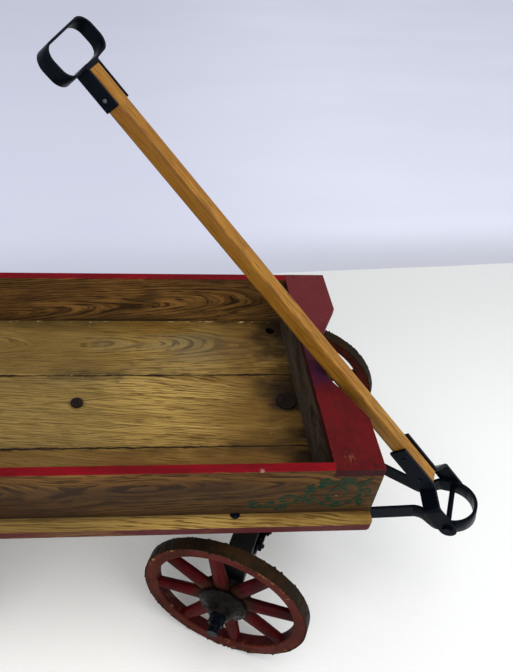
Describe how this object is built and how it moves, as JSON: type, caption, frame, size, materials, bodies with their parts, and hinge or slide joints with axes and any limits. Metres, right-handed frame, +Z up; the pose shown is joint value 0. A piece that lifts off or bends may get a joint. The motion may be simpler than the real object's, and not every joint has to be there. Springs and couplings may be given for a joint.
{
  "type": "coaster wagon",
  "caption": "Wooden coaster wagon: oak bed on spoked wooden wheels with steel tyres, steered by an iron drawbar with a pole handle and looped grip.",
  "frame": {"origin": "on the ground under the middle of the wagon's bounding box in its stored pose, front gear turned to the right and handle leaning back", "axes": "+X forward along the bed, +Y to the wagon's left, +Z up"},
  "size_m": [1.0238, 0.586, 0.8017],
  "materials": {
    "floor_oak": "worn clear varnish, dark grain",
    "side_board_stain": "dark brown stain, red top edge",
    "end_board_wood": "dark, unpainted",
    "red_paint": "worn red paint on wood",
    "black_wood": "black paint on wood",
    "wheel_wood": "dark red paint on wood",
    "tyre_steel": "dark, rusty",
    "hub_iron": "dark iron, dull",
    "strap_iron": "black paint, half gloss",
    "pole_wood": "amber varnish"
  },
  "bodies": {
    "wagon_body": {"floor_board_right": "floor_oak", "floor_board_middle": "floor_oak", "floor_board_left": "floor_oak", "front_cap": "red_paint", "side_board_left": "side_board_stain", "side_board_right": "side_board_stain", "end_board_front": "end_board_wood", "end_board_rear": "end_board_wood", "cleat_front": "black_wood", "bolster_front": "black_wood", "cleat_rear": "black_wood", "bolster_rear": "black_wood", "cleat_middle": "black_wood", "turn_plate_upper": "strap_iron", "kingpin": "strap_iron", "centre_bolt": "strap_iron", "axle_beam_rear": "black_wood", "axle_rear": "strap_iron", "rear_brace": "strap_iron"},
    "front_gear": {"axle_beam_front": "black_wood", "axle_front": "strap_iron", "turn_plate_lower": "strap_iron", "drawbar": "strap_iron", "drawbar_pin": "strap_iron"},
    "handle": {"pole": "pole_wood", "yoke_strap_left": "strap_iron", "yoke_strap_right": "strap_iron", "grip": "strap_iron"},
    "wheel_front_left": {"tyre_front_left": "tyre_steel", "felloe_front_left": "wheel_wood", "spokes_front_left": "wheel_wood", "hub_front_left": "hub_iron"},
    "wheel_front_right": {"tyre_front_right": "tyre_steel", "felloe_front_right": "wheel_wood", "spokes_front_right": "wheel_wood", "hub_front_right": "hub_iron"},
    "wheel_rear_left": {"tyre_rear_left": "tyre_steel", "felloe_rear_left": "wheel_wood", "spokes_rear_left": "wheel_wood", "hub_rear_left": "hub_iron"},
    "wheel_rear_right": {"tyre_rear_right": "tyre_steel", "felloe_rear_right": "wheel_wood", "spokes_rear_right": "wheel_wood", "hub_rear_right": "hub_iron"}
  },
  "joints": [
    {"name": "steering", "type": "hinge", "parent": "wagon_body", "child": "front_gear", "pos_m": [0.22262, 0, 0.1857], "axis": [0, 0, 1], "range_deg": [0, 50.8]},
    {"name": "handle_hinge", "type": "hinge", "parent": "front_gear", "child": "handle", "pos_m": [0.47239, -0.1186, 0.197], "axis": [0.4289, 0.9033, 0], "range_deg": [0, 145]},
    {"name": "wheel_spin_front_left", "type": "hinge", "parent": "front_gear", "child": "wheel_front_left", "pos_m": [0.32683, 0.21177, 0.1225], "axis": [0.4289, 0.9033, 0], "continuous": true},
    {"name": "wheel_spin_front_right", "type": "hinge", "parent": "front_gear", "child": "wheel_front_right", "pos_m": [0.12437, -0.2146, 0.1225], "axis": [0.4289, 0.9033, 0], "continuous": true},
    {"name": "wheel_spin_rear_left", "type": "hinge", "parent": "wagon_body", "child": "wheel_rear_left", "pos_m": [-0.38938, 0.236, 0.1225], "axis": [0, 1, 0], "continuous": true},
    {"name": "wheel_spin_rear_right", "type": "hinge", "parent": "wagon_body", "child": "wheel_rear_right", "pos_m": [-0.38938, -0.236, 0.1225], "axis": [0, 1, 0], "continuous": true}
  ]
}
